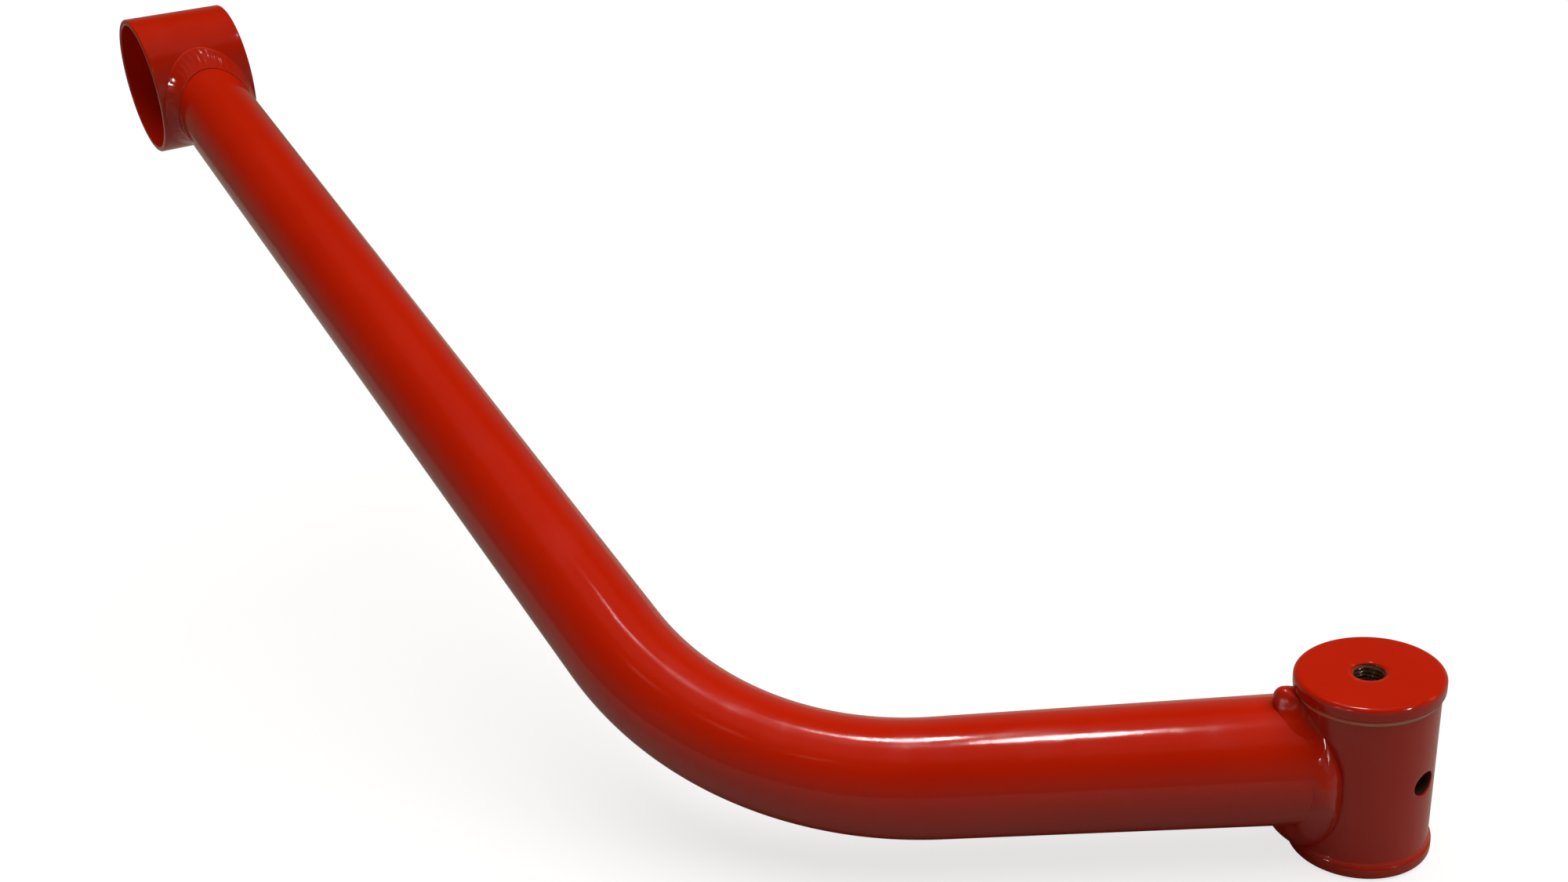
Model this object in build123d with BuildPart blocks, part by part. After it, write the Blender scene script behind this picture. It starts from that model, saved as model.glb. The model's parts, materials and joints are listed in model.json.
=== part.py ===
from math import asin, cos, degrees, radians, sin, tan
import os

from build123d import *

os.makedirs("parts", exist_ok=True)

# A welded suspension control arm. A round tube with one bend joins a bushing eye
# at one end to a short upright pivot barrel at the other.
# The origin is the centre of the eye's bore, +Z is parallel to the barrel's axis,
# and seen from above the long leg of the tube runs from the eye along +X.

# Arm tube, with each leg measured along the centreline to the corner of the bend
tube_od = 44.45
tube_wall = 4.75
bend_radius = 152.4
eye_leg = 564.8
pivot_leg = 217.0
eye_leg_fall = 26.5  # degrees below level, from the eye down to the bend
plan_turn = 49.8  # degrees between the legs, seen from above

# Bushing eye: a plain sleeve that a bonded rubber bushing is pressed into
eye_od = 72.2
eye_wall = 3.0
eye_margin = 4.0  # the sleeve stands this far past the tube on its shorter side
eye_shift = 1.8  # the sleeve's middle stands this far along its bore from the tube
eye_roll = 6.3  # degrees that the bore is rolled about the long leg
eye_edge_break = 0.6

# Pivot barrel: a short upright tube, closed at both ends by flanged plugs
barrel_od = 41.3
barrel_wall = 4.8
barrel_margin = 7.775  # the barrel's own tube is this much longer, at each end, than the arm tube is wide
barrel_drop = 1.5  # the barrel's middle is this far below the tube's centreline
vent_diameter = 8.8
vent_bearing = 3.5  # degrees from +X to the vent hole, seen from above

# Flanged plugs, each with a tapped hole for the pivot bolt
flange_overhang = 1.0
flange_thickness = 5.0
flange_rim_radius = 1.8
spigot_length = 15.0
spigot_clearance = 0.05  # radial, between the spigot and the barrel's bore
thread_diameter = 10.0
thread_pitch = 1.5
thread_mouth_clearance = 0.3  # radial, between the thread and the countersink's rim

# Weld beads
eye_bead = 6.0  # leg of the bead on the eye and on the tube
barrel_bead_leg = 4.5  # leg of the bead along the tube
barrel_bead_crown = 2.0  # height of the bead above the tube
tube_end_bearing = 43.0  # degrees round the barrel, from the tube's axis to its cut end
bead_toe_bearing = 61.0  # degrees round the barrel, from the tube's axis to the bead's far edge
seam_leg = 0.8  # the thin seam under each flange

# Sizes that follow from the ones above
tube_radius = tube_od / 2
tube_bore_radius = tube_radius - tube_wall
eye_radius = eye_od / 2
eye_bore_radius = eye_radius - eye_wall
barrel_radius = barrel_od / 2
barrel_bore_radius = barrel_radius - barrel_wall
tap_radius = (thread_diameter - thread_pitch) / 2
eye_length = tube_od + 2 * (eye_margin + eye_shift)
barrel_tube_length = tube_od + 2 * barrel_margin
flange_radius = barrel_radius + flange_overhang
tube_end_setback = barrel_radius * cos(radians(tube_end_bearing))
bead_toe_setback = barrel_radius * cos(radians(bead_toe_bearing))
bead_toe_radius = barrel_radius * sin(radians(bead_toe_bearing))

# Directions of the two legs, both pointing from the eye towards the barrel
fall = radians(eye_leg_fall)
turn = radians(plan_turn)
roll = radians(eye_roll)
eye_leg_direction = Vector(cos(fall), 0, -sin(fall))
pivot_leg_direction = Vector(cos(turn), sin(turn), 0)
# The eye's bore is square to the long leg
bore_direction = Vector(sin(fall) * sin(roll), -cos(roll), cos(fall) * sin(roll))

# The three points that the tube's centreline is drawn through
eye_point = bore_direction * -eye_shift
bend_corner = eye_point + eye_leg_direction * eye_leg
pivot_point = bend_corner + pivot_leg_direction * pivot_leg
tube_stop = pivot_point - pivot_leg_direction * tube_end_setback

eye_plane = Plane(origin=(0, 0, 0), x_dir=eye_leg_direction, z_dir=bore_direction)
tube_start_plane = Plane(origin=eye_point, x_dir=bore_direction, z_dir=eye_leg_direction)
barrel_middle = Plane(
    origin=pivot_point - Vector(0, 0, barrel_drop),
    x_dir=pivot_leg_direction,
    z_dir=(0, 0, 1),
)
barrel_foot = barrel_middle.offset(-barrel_tube_length / 2)

# Bushing eye
with BuildPart() as bushing_eye:
    with BuildSketch(eye_plane):
        Circle(eye_radius)
        Circle(eye_bore_radius, mode=Mode.SUBTRACT)
    extrude(amount=eye_length / 2, both=True)
    chamfer(bushing_eye.edges().filter_by(GeomType.CIRCLE), length=eye_edge_break)
bushing_eye.part.label = "bushing_eye"
export_step(bushing_eye.part, "parts/bushing_eye.step")

# The room that the eye and the barrel take, for what is cut or fitted round them
with BuildPart() as eye_outline:
    with BuildSketch(eye_plane):
        Circle(eye_radius)
    extrude(amount=eye_length, both=True)

with BuildPart() as barrel_outline:
    with BuildSketch(barrel_middle):
        Circle(barrel_radius)
    extrude(amount=barrel_tube_length, both=True)

# Arm tube, bent once and coped at both ends
with BuildPart() as arm_tube:
    with BuildLine():
        FilletPolyline(eye_point, bend_corner, tube_stop, radius=bend_radius)
    with BuildSketch(tube_start_plane):
        Circle(tube_radius)
        Circle(tube_bore_radius, mode=Mode.SUBTRACT)
    sweep()
    add(eye_outline.part, mode=Mode.SUBTRACT)
    add(barrel_outline.part, mode=Mode.SUBTRACT)
arm_tube.part.label = "arm_tube"
export_step(arm_tube.part, "parts/arm_tube.step")

# Pivot barrel, with a vent hole through one side
vent_plane = Plane(
    origin=barrel_middle.origin,
    x_dir=(0, 0, 1),
    z_dir=(cos(radians(vent_bearing)), sin(radians(vent_bearing)), 0),
)
with BuildPart() as pivot_barrel:
    with BuildSketch(barrel_foot):
        Circle(barrel_radius)
        Circle(barrel_bore_radius, mode=Mode.SUBTRACT)
    extrude(amount=barrel_tube_length)
    with BuildSketch(vent_plane):
        Circle(vent_diameter / 2)
    extrude(amount=barrel_od, mode=Mode.SUBTRACT)
pivot_barrel.part.label = "pivot_barrel"
export_step(pivot_barrel.part, "parts/pivot_barrel.step")

# Both ends of the barrel are the same: a flanged plug, and the seam that welds it on
barrel_ends = {
    "upper": Plane(origin=barrel_middle.offset(barrel_tube_length / 2).origin, z_dir=(0, 0, 1)),
    "lower": Plane(origin=barrel_foot.origin, z_dir=(0, 0, -1)),
}
for end, seat in barrel_ends.items():
    face = seat.offset(flange_thickness)
    with BuildPart() as end_plug:
        with BuildSketch(seat):
            Circle(flange_radius)
        extrude(amount=flange_thickness)
        fillet(end_plug.edges().group_by(Axis(seat.origin, seat.z_dir))[-1], radius=flange_rim_radius)
        with BuildSketch(seat):
            Circle(barrel_bore_radius - spigot_clearance)
        extrude(amount=-spigot_length)
        with Locations(face):
            CounterSinkHole(
                radius=tap_radius,
                counter_sink_radius=thread_diameter / 2 + thread_mouth_clearance,
                counter_sink_angle=90,
            )
    end_plug.part.label = f"{end}_end_plug"
    export_step(end_plug.part, f"parts/{end}_end_plug.step")

    with BuildPart() as seam:
        with BuildSketch(Plane(origin=seat.origin, x_dir=(1, 0, 0), z_dir=(0, -1, 0))):
            with BuildLine():
                inward = -seat.z_dir.Z * seam_leg
                Polyline(
                    (barrel_radius, 0),
                    (barrel_radius + seam_leg, 0),
                    (barrel_radius, inward),
                    close=True,
                )
            make_face()
        revolve(axis=Axis(seat.origin, seat.z_dir))
    seam.part.label = f"{end}_plug_weld"
    export_step(seam.part, f"parts/{end}_plug_weld.step")

# Weld bead that follows the saddle where the tube meets the eye
with BuildPart() as eye_bead_outline:
    with BuildSketch(eye_plane):
        Circle(eye_radius + eye_bead)
    extrude(amount=eye_length / 2, both=True)

with BuildPart() as eye_weld:
    with BuildSketch(tube_start_plane):
        Circle(tube_radius + eye_bead)
        Circle(tube_radius, mode=Mode.SUBTRACT)
    extrude(amount=eye_od)
    add(eye_bead_outline.part, mode=Mode.INTERSECT)
    add(eye_outline.part, mode=Mode.SUBTRACT)
eye_weld.part.label = "eye_weld"
export_step(eye_weld.part, "parts/eye_weld.step")

# Weld bead round the tube's cut end, sloping in to the side of the barrel
with BuildPart() as tube_end_outline:
    with BuildSketch(Plane(origin=tube_stop, z_dir=pivot_leg_direction * -1)):
        Circle(tube_radius)
    extrude(amount=barrel_od)

bead_plane = Plane(
    origin=pivot_point,
    x_dir=pivot_leg_direction * -1,
    z_dir=Vector(0, 0, 1).cross(pivot_leg_direction),
)
with BuildPart() as barrel_weld:
    with BuildSketch(bead_plane):
        with BuildLine():
            Polyline(
                (barrel_radius + barrel_bead_leg, 0),
                (barrel_radius + barrel_bead_leg, tube_radius),
                (barrel_radius, tube_radius + barrel_bead_crown),
                (tube_end_setback, tube_radius + barrel_bead_crown / 2),
                (bead_toe_setback, bead_toe_radius),
                (bead_toe_setback, 0),
                close=True,
            )
        make_face()
    revolve(axis=Axis(pivot_point, pivot_leg_direction))
    add(tube_end_outline.part, mode=Mode.SUBTRACT)
    add(barrel_outline.part, mode=Mode.SUBTRACT)
barrel_weld.part.label = "barrel_weld"
export_step(barrel_weld.part, "parts/barrel_weld.step")

bend_angle = 2 * degrees(asin((eye_leg_direction - pivot_leg_direction).length / 2))
print(f"bend angle {bend_angle:.2f} degrees")
print(f"straight lengths {eye_leg - bend_radius * tan(radians(bend_angle / 2)):.1f}"
      f" and {pivot_leg - bend_radius * tan(radians(bend_angle / 2)):.1f} mm")
print("eye bore direction", bore_direction)
print("tube meets the barrel's axis at", pivot_point)
for end, seat in barrel_ends.items():
    print(end, "flange face centre", seat.offset(flange_thickness).origin)
print("vent bearing", vent_plane.z_dir)
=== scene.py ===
import json
import math
import bpy
import bmesh
from mathutils import Matrix, Vector, noise


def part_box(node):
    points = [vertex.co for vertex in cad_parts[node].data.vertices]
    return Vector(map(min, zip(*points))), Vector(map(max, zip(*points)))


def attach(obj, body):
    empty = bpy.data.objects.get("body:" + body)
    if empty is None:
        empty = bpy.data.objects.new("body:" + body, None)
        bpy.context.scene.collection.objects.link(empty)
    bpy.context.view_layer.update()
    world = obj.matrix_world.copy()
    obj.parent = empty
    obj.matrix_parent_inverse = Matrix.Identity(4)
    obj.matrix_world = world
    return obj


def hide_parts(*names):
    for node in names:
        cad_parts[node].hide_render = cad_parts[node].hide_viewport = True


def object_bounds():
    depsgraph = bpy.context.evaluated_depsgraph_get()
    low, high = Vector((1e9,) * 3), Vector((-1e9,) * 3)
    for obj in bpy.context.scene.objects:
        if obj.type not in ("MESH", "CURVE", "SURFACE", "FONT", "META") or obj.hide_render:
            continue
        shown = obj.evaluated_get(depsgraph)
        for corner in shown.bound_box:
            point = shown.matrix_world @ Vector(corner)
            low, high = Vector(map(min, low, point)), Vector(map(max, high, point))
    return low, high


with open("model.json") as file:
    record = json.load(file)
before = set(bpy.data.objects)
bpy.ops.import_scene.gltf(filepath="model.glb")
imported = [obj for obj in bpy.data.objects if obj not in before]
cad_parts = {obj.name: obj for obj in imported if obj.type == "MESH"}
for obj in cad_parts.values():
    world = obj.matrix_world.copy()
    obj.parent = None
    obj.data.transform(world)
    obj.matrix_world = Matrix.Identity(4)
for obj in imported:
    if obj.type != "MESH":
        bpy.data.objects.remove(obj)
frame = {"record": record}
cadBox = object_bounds()
mounts = {m["name"]: m for m in frame["record"]["mounts"]}
scene = bpy.context.scene
fullTurn = 2 * math.pi

# Everything is in metres. The tube's two legs run from the eye to the pivot barrel.
tube = {
    "radius": 0.022225, "wall": 0.00475, "bendRadius": 0.1524,
    "eyeLeg": 0.5648, "eyeLegFall": 26.5, "planTurn": 49.8,
    "cutBearing": 43.0, "columns": 128, "eyeLegRows": 90, "bendRows": 56, "pivotLegRows": 36,
}
eye = {
    "radius": 0.0361, "shift": 0.0018, "rimRound": 0.0011, "boreRimRound": 0.0008, "edgeBreak": 0.0006,
    "columns": 224, "skinRows": 28, "boreRows": 20,
}
barrel = {
    "radius": 0.02065, "wall": 0.0048, "drop": 0.0015, "columns": 160, "rows": 40,
    "ventRadius": 0.0044, "ventBearing": 3.5, "windowColumns": 10, "windowRows": 6,
    "lipRound": 0.0003, "paintedMouth": 0.0001,
}

fall = math.radians(tube["eyeLegFall"])
turn = math.radians(tube["planTurn"])
eyeLegWay = Vector((math.cos(fall), 0, -math.sin(fall)))
pivotLegWay = Vector((math.cos(turn), math.sin(turn), 0))
upward = Vector((0, 0, 1))

eyeCentre = Vector(mounts["eye_bore"]["pos_m"])
boreWay = Vector(mounts["eye_bore"]["axis"])
eyeBoreRadius = mounts["eye_bore"]["dims"]["r_mm"] / 1000
eyeSideWay = eyeLegWay.cross(boreWay)
eyePoint = eyeCentre - boreWay * eye["shift"]

barrelLow, barrelHigh = (Vector(c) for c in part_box("pivot_barrel"))
barrelMiddle = (barrelLow + barrelHigh) / 2
barrelMiddle.x, barrelMiddle.y = mounts["upper_thread"]["pos_m"][:2]
barrelHalf = (barrelHigh.z - barrelLow.z) / 2
pivotPoint = barrelMiddle + upward * barrel["drop"]
bendCorner = eyePoint + eyeLegWay * tube["eyeLeg"]
pivotSideWay = upward.cross(pivotLegWay)


def skin(name, rows, closed=True, faceSlot=None):
    # Rows are rings of points, joined to the next row and, where closed, the last to the first
    columns = len(rows[0])
    points = [p for row in rows for p in row]
    faces = []
    slots = []
    for r in range(len(rows) if closed else len(rows) - 1):
        below, above = r * columns, ((r + 1) % len(rows)) * columns
        for c in range(columns):
            d = (c + 1) % columns
            faces.append((below + c, below + d, above + d, above + c))
            slots.append(faceSlot(r) if faceSlot else 0)
    mesh = bpy.data.meshes.new(name)
    mesh.from_pydata(points, [], faces)
    mesh.polygons.foreach_set("material_index", slots)
    return finishMesh(name, mesh)


def finishMesh(name, mesh, mergeDistance=1e-7):
    shape = bmesh.new()
    shape.from_mesh(mesh)
    bmesh.ops.remove_doubles(shape, verts=shape.verts, dist=mergeDistance)
    bmesh.ops.delete(shape, geom=[v for v in shape.verts if not v.link_faces], context="VERTS")
    bmesh.ops.recalc_face_normals(shape, faces=shape.faces)
    for face in shape.faces:
        face.smooth = True
    shape.to_mesh(mesh)
    shape.free()
    piece = bpy.data.objects.new(name, mesh)
    scene.collection.objects.link(piece)
    return piece


def lathe(centre, axis, start, profile, columns):
    # Profile points are (along the axis, out from it), and start is where column 0 stands
    side = axis.cross(start)
    rows = []
    for along, out in profile:
        ring = []
        for c in range(columns):
            a = fullTurn * c / columns
            ring.append(centre + axis * along + (start * math.cos(a) + side * math.sin(a)) * out)
        rows.append(ring)
    return rows


def roundedCorner(centreAlong, centreOut, radius, fromDegrees, toDegrees, steps=7):
    corner = []
    for k in range(steps + 1):
        a = math.radians(fromDegrees + (toDegrees - fromDegrees) * k / steps)
        corner.append((centreAlong + radius * math.sin(a), centreOut + radius * math.cos(a)))
    return corner


def lerp(a, b, t):
    return a + (b - a) * t


def spread(first, last, count):
    return [lerp(first, last, k / count) for k in range(count + 1)]


def finishPiece(piece, nodes, materials):
    for material in materials[len(piece.data.materials):]:
        piece.data.materials.append(material)
    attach(piece, "root")
    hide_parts(*nodes)


def nodeGroup(name, inputs, outputs):
    group = bpy.data.node_groups.new(name, "ShaderNodeTree")
    for label, kind, value in inputs:
        group.interface.new_socket(name=label, in_out="INPUT", socket_type=kind).default_value = value
    for label, kind in outputs:
        group.interface.new_socket(name=label, in_out="OUTPUT", socket_type=kind)
    return group, group.nodes.new("NodeGroupInput"), group.nodes.new("NodeGroupOutput")


def addNode(tree, kind, values=None, **settings):
    node = tree.nodes.new(kind)
    for key, value in settings.items():
        setattr(node, key, value)
    for socket, value in (values or {}).items():
        node.inputs[socket].default_value = value
    return node


def math2(tree, operation, a, b=None, clamp=False):
    # A Math node; a number is set on its socket and anything else is linked
    node = addNode(tree, "ShaderNodeMath", operation=operation, use_clamp=clamp)
    for k, value in enumerate((a, b)):
        if value is None:
            continue
        if isinstance(value, (int, float)):
            node.inputs[k].default_value = value
        else:
            tree.links.new(value, node.inputs[k])
    return node.outputs[0]


# Orange peel: the soft, pebbled skin of a cured powder coat, with longer waves under it
orangePeel, given, made = nodeGroup(
    "orangePeel",
    [("Pebble Size", "NodeSocketFloat", 0.002), ("Wave Size", "NodeSocketFloat", 0.012),
     ("Wave Share", "NodeSocketFloat", 0.6)],
    [("Height", "NodeSocketFloat")],
)
place = addNode(orangePeel, "ShaderNodeTexCoord")
pebble = addNode(orangePeel, "ShaderNodeTexNoise", {"Detail": 1.5, "Roughness": 0.45})
wave = addNode(orangePeel, "ShaderNodeTexNoise", {"Detail": 1.0, "Roughness": 0.4})
for texture, size in ((pebble, "Pebble Size"), (wave, "Wave Size")):
    orangePeel.links.new(place.outputs["Object"], texture.inputs["Vector"])
    orangePeel.links.new(math2(orangePeel, "DIVIDE", 1.0, given.outputs[size]), texture.inputs["Scale"])
waveHeight = math2(orangePeel, "MULTIPLY", wave.outputs["Fac"], given.outputs["Wave Share"])
pebbleShare = math2(orangePeel, "SUBTRACT", 1.0, given.outputs["Wave Share"])
pebbleHeight = math2(orangePeel, "MULTIPLY", pebble.outputs["Fac"], pebbleShare)
orangePeel.links.new(math2(orangePeel, "ADD", waveHeight, pebbleHeight), made.inputs["Height"])

# Shade drift: the coat is a little deeper where it lies thicker, and speckled close up
shadeDrift, given, made = nodeGroup(
    "shadeDrift",
    [("Colour", "NodeSocketColor", (0.6, 0.02, 0.003, 1)),
     ("Deep Colour", "NodeSocketColor", (0.5, 0.01, 0.002, 1)),
     ("Patch Size", "NodeSocketFloat", 0.04), ("Speckle", "NodeSocketFloat", 0.15)],
    [("Colour", "NodeSocketColor")],
)
place = addNode(shadeDrift, "ShaderNodeTexCoord")
patch = addNode(shadeDrift, "ShaderNodeTexNoise", {"Detail": 3.0, "Roughness": 0.55})
speck = addNode(shadeDrift, "ShaderNodeTexNoise", {"Scale": 900.0, "Detail": 2.0, "Roughness": 0.6})
shadeDrift.links.new(place.outputs["Object"], patch.inputs["Vector"])
shadeDrift.links.new(place.outputs["Object"], speck.inputs["Vector"])
shadeDrift.links.new(math2(shadeDrift, "DIVIDE", 1.0, given.outputs["Patch Size"]), patch.inputs["Scale"])
speckShare = math2(shadeDrift, "MULTIPLY", math2(shadeDrift, "SUBTRACT", speck.outputs["Fac"], 0.5),
                   given.outputs["Speckle"])
mixFactor = math2(shadeDrift, "ADD", patch.outputs["Fac"], speckShare, clamp=True)
blend = addNode(shadeDrift, "ShaderNodeMix", data_type="RGBA")
shadeDrift.links.new(mixFactor, blend.inputs["Factor"])
shadeDrift.links.new(given.outputs["Colour"], blend.inputs["A"])
shadeDrift.links.new(given.outputs["Deep Colour"], blend.inputs["B"])
shadeDrift.links.new(blend.outputs["Result"], made.inputs["Colour"])

# Handling: faint smudges and dust that dull the gloss in patches
handling, given, made = nodeGroup(
    "handling",
    [("Clean", "NodeSocketFloat", 0.12), ("Smudged", "NodeSocketFloat", 0.3),
     ("Smudge Size", "NodeSocketFloat", 0.03)],
    [("Roughness", "NodeSocketFloat")],
)
place = addNode(handling, "ShaderNodeTexCoord")
smudge = addNode(handling, "ShaderNodeTexNoise", {"Detail": 5.0, "Roughness": 0.6, "Distortion": 0.6})
handling.links.new(place.outputs["Object"], smudge.inputs["Vector"])
handling.links.new(math2(handling, "DIVIDE", 1.0, given.outputs["Smudge Size"]), smudge.inputs["Scale"])
ramp = addNode(handling, "ShaderNodeMapRange", {"From Min": 0.5, "From Max": 0.72})
handling.links.new(smudge.outputs["Fac"], ramp.inputs["Value"])
handling.links.new(given.outputs["Clean"], ramp.inputs["To Min"])
handling.links.new(given.outputs["Smudged"], ramp.inputs["To Max"])
handling.links.new(ramp.outputs["Result"], made.inputs["Roughness"])

# Edge thinning: the coat draws back from sharp edges and is paler there
edgeThinning, given, made = nodeGroup(
    "edgeThinning",
    [("Colour", "NodeSocketColor", (0.6, 0.02, 0.003, 1)),
     ("Edge Colour", "NodeSocketColor", (0.7, 0.08, 0.03, 1)),
     ("Start", "NodeSocketFloat", 0.54), ("End", "NodeSocketFloat", 0.62)],
    [("Colour", "NodeSocketColor")],
)
shapeInfo = addNode(edgeThinning, "ShaderNodeNewGeometry")
ramp = addNode(edgeThinning, "ShaderNodeMapRange")
edgeThinning.links.new(shapeInfo.outputs["Pointiness"], ramp.inputs["Value"])
edgeThinning.links.new(given.outputs["Start"], ramp.inputs["From Min"])
edgeThinning.links.new(given.outputs["End"], ramp.inputs["From Max"])
blend = addNode(edgeThinning, "ShaderNodeMix", data_type="RGBA")
edgeThinning.links.new(ramp.outputs["Result"], blend.inputs["Factor"])
edgeThinning.links.new(given.outputs["Colour"], blend.inputs["A"])
edgeThinning.links.new(given.outputs["Edge Colour"], blend.inputs["B"])
edgeThinning.links.new(blend.outputs["Result"], made.inputs["Colour"])


def emptyMaterial(name):
    material = bpy.data.materials.new(name)
    material.use_nodes = True
    tree = material.node_tree
    tree.nodes.clear()
    shader = tree.nodes.new("ShaderNodeBsdfPrincipled")
    output = tree.nodes.new("ShaderNodeOutputMaterial")
    tree.links.new(shader.outputs["BSDF"], output.inputs["Surface"])
    return material, tree, shader


def groupNode(tree, group, values):
    node = tree.nodes.new("ShaderNodeGroup")
    node.node_tree = group
    for socket, value in values.items():
        node.inputs[socket].default_value = value
    return node


# Glossy red powder coat
redCoat = {
    "colour": (0.60, 0.0170, 0.0020, 1), "deepColour": (0.52, 0.0110, 0.0012, 1),
    "edgeColour": (0.66, 0.045, 0.016, 1), "patchSize": 0.05, "speckle": 0.3,
    "clean": 0.11, "smudged": 0.2, "smudgeSize": 0.03,
    "pebbleSize": 0.0024, "waveSize": 0.011, "waveShare": 0.7, "bump": 0.16, "bumpDepth": 0.0005,
    "edgeStart": 0.55, "edgeEnd": 0.64, "ior": 1.5,
}


def coatMaterial(name, **changes):
    coat = {**redCoat, **changes}
    material, tree, shader = emptyMaterial(name)
    shade = groupNode(tree, shadeDrift, {"Colour": coat["colour"], "Deep Colour": coat["deepColour"],
                                         "Patch Size": coat["patchSize"], "Speckle": coat["speckle"]})
    edge = groupNode(tree, edgeThinning, {"Edge Colour": coat["edgeColour"], "Start": coat["edgeStart"],
                                          "End": coat["edgeEnd"]})
    dull = groupNode(tree, handling, {"Clean": coat["clean"], "Smudged": coat["smudged"],
                                      "Smudge Size": coat["smudgeSize"]})
    peel = groupNode(tree, orangePeel, {"Pebble Size": coat["pebbleSize"], "Wave Size": coat["waveSize"],
                                        "Wave Share": coat["waveShare"]})
    bump = addNode(tree, "ShaderNodeBump", {"Strength": coat["bump"], "Distance": coat["bumpDepth"]})
    tree.links.new(shade.outputs["Colour"], edge.inputs["Colour"])
    tree.links.new(edge.outputs["Colour"], shader.inputs["Base Color"])
    tree.links.new(dull.outputs["Roughness"], shader.inputs["Roughness"])
    tree.links.new(peel.outputs["Height"], bump.inputs["Height"])
    tree.links.new(bump.outputs["Normal"], shader.inputs["Normal"])
    shader.inputs["IOR"].default_value = coat["ior"]
    return material


# Bare steel, speckled and unevenly dull
bareSteel = {
    "speckle": 0.3, "smudging": 0.2, "grainSize": 0.0003, "waveSize": 0.002, "waveShare": 0.4,
    "bump": 0.3, "bumpDepth": 0.0001, "metallic": 0.8,
}


def steelMaterial(name, colour, darkColour, roughness, grimeSize):
    material, tree, shader = emptyMaterial(name)
    grime = groupNode(tree, shadeDrift, {"Colour": colour, "Deep Colour": darkColour,
                                         "Patch Size": grimeSize, "Speckle": bareSteel["speckle"]})
    dull = groupNode(tree, handling, {"Clean": roughness, "Smudged": roughness + bareSteel["smudging"],
                                      "Smudge Size": grimeSize})
    peel = groupNode(tree, orangePeel, {"Pebble Size": bareSteel["grainSize"],
                                        "Wave Size": bareSteel["waveSize"],
                                        "Wave Share": bareSteel["waveShare"]})
    bump = addNode(tree, "ShaderNodeBump", {"Strength": bareSteel["bump"],
                                            "Distance": bareSteel["bumpDepth"]})
    tree.links.new(grime.outputs["Colour"], shader.inputs["Base Color"])
    tree.links.new(dull.outputs["Roughness"], shader.inputs["Roughness"])
    tree.links.new(peel.outputs["Height"], bump.inputs["Height"])
    tree.links.new(bump.outputs["Normal"], shader.inputs["Normal"])
    shader.inputs["Metallic"].default_value = bareSteel["metallic"]
    return material


tubeCoat = coatMaterial("tubeCoat")
eyeCoat = coatMaterial("eyeCoat", waveSize=0.014)
barrelCoat = coatMaterial("barrelCoat", waveSize=0.009)
plugCoat = coatMaterial("plugCoat", pebbleSize=0.0018, bump=0.2)
# Painted reflection: the upper seam's coat is coloured pale to stand in for the pale room it mirrors, under
# the flange's shadow
seamPaintedReflection = coatMaterial("seamPaintedReflection", colour=(0.80, 0.30, 0.21, 1), deepColour=(0.72, 0.22, 0.14, 1), clean=0.2)
beadCoat = coatMaterial("beadCoat", waveSize=0.006, bump=0.22, clean=0.12)
tappedSteel = steelMaterial("tappedSteel", (0.46, 0.29, 0.20, 1), (0.11, 0.06, 0.04, 1), 0.2, 0.004)
hiddenSteel = steelMaterial("hiddenSteel", (0.28, 0.11, 0.07, 1), (0.16, 0.06, 0.04, 1), 0.6, 0.01)
print("materials made")

# Arm tube: bent once, and cut to a saddle at both ends
bendAngle = math.acos(eyeLegWay.dot(pivotLegWay))
tangentLength = tube["bendRadius"] * math.tan(bendAngle / 2)
bendStart = bendCorner - eyeLegWay * tangentLength
bendEnd = bendCorner + pivotLegWay * tangentLength
bendAxis = eyeLegWay.cross(pivotLegWay).normalized()
bendCentre = bendStart + bendAxis.cross(eyeLegWay) * tube["bendRadius"]
tubeEndSetback = barrel["radius"] * math.cos(math.radians(tube["cutBearing"]))


def eyeSaddle(radius, spoke):
    # How far from the eye's axis a line of the tube's skin meets the eye
    reach = radius * spoke.dot(eyeSideWay)
    return math.sqrt(max(eye["radius"] ** 2 - reach ** 2, 0))


def barrelSaddle(radius, spoke):
    reach = radius * spoke.dot(pivotSideWay)
    return max(math.sqrt(max(barrel["radius"] ** 2 - reach ** 2, 0)), tubeEndSetback)


def tubeRows(radius):
    spokes = []
    for c in range(tube["columns"]):
        a = fullTurn * c / tube["columns"]
        spokes.append(boreWay * math.cos(a) + eyeSideWay * math.sin(a))
    rows = []
    straight = (bendStart - eyePoint).length
    for t in spread(0, 1, tube["eyeLegRows"]):
        reaches = [lerp(eyeSaddle(radius, s), straight, t) for s in spokes]
        rows.append([eyePoint + eyeLegWay * reach + s * radius for reach, s in zip(reaches, spokes)])
    for k in range(1, tube["bendRows"]):
        swing = Matrix.Rotation(bendAngle * k / tube["bendRows"], 3, bendAxis)
        middle = bendCentre + swing @ (bendStart - bendCentre)
        rows.append([middle + swing @ s * radius for s in spokes])
    swing = Matrix.Rotation(bendAngle, 3, bendAxis)
    turned = [swing @ s for s in spokes]
    straight = (pivotPoint - bendEnd).length
    for t in spread(0, 1, tube["pivotLegRows"]):
        reaches = [(straight - barrelSaddle(radius, s)) * t for s in turned]
        rows.append([bendEnd + pivotLegWay * reach + s * radius for reach, s in zip(reaches, turned)])
    return rows


outerRows = tubeRows(tube["radius"])
innerRows = tubeRows(tube["radius"] - tube["wall"])
armTube = skin("armTube", outerRows + innerRows[::-1], faceSlot=lambda r: 0 if r < len(outerRows) - 1 else 1)
finishPiece(armTube, ["arm_tube"], [tubeCoat, hiddenSteel])
print("arm tube made")

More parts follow.
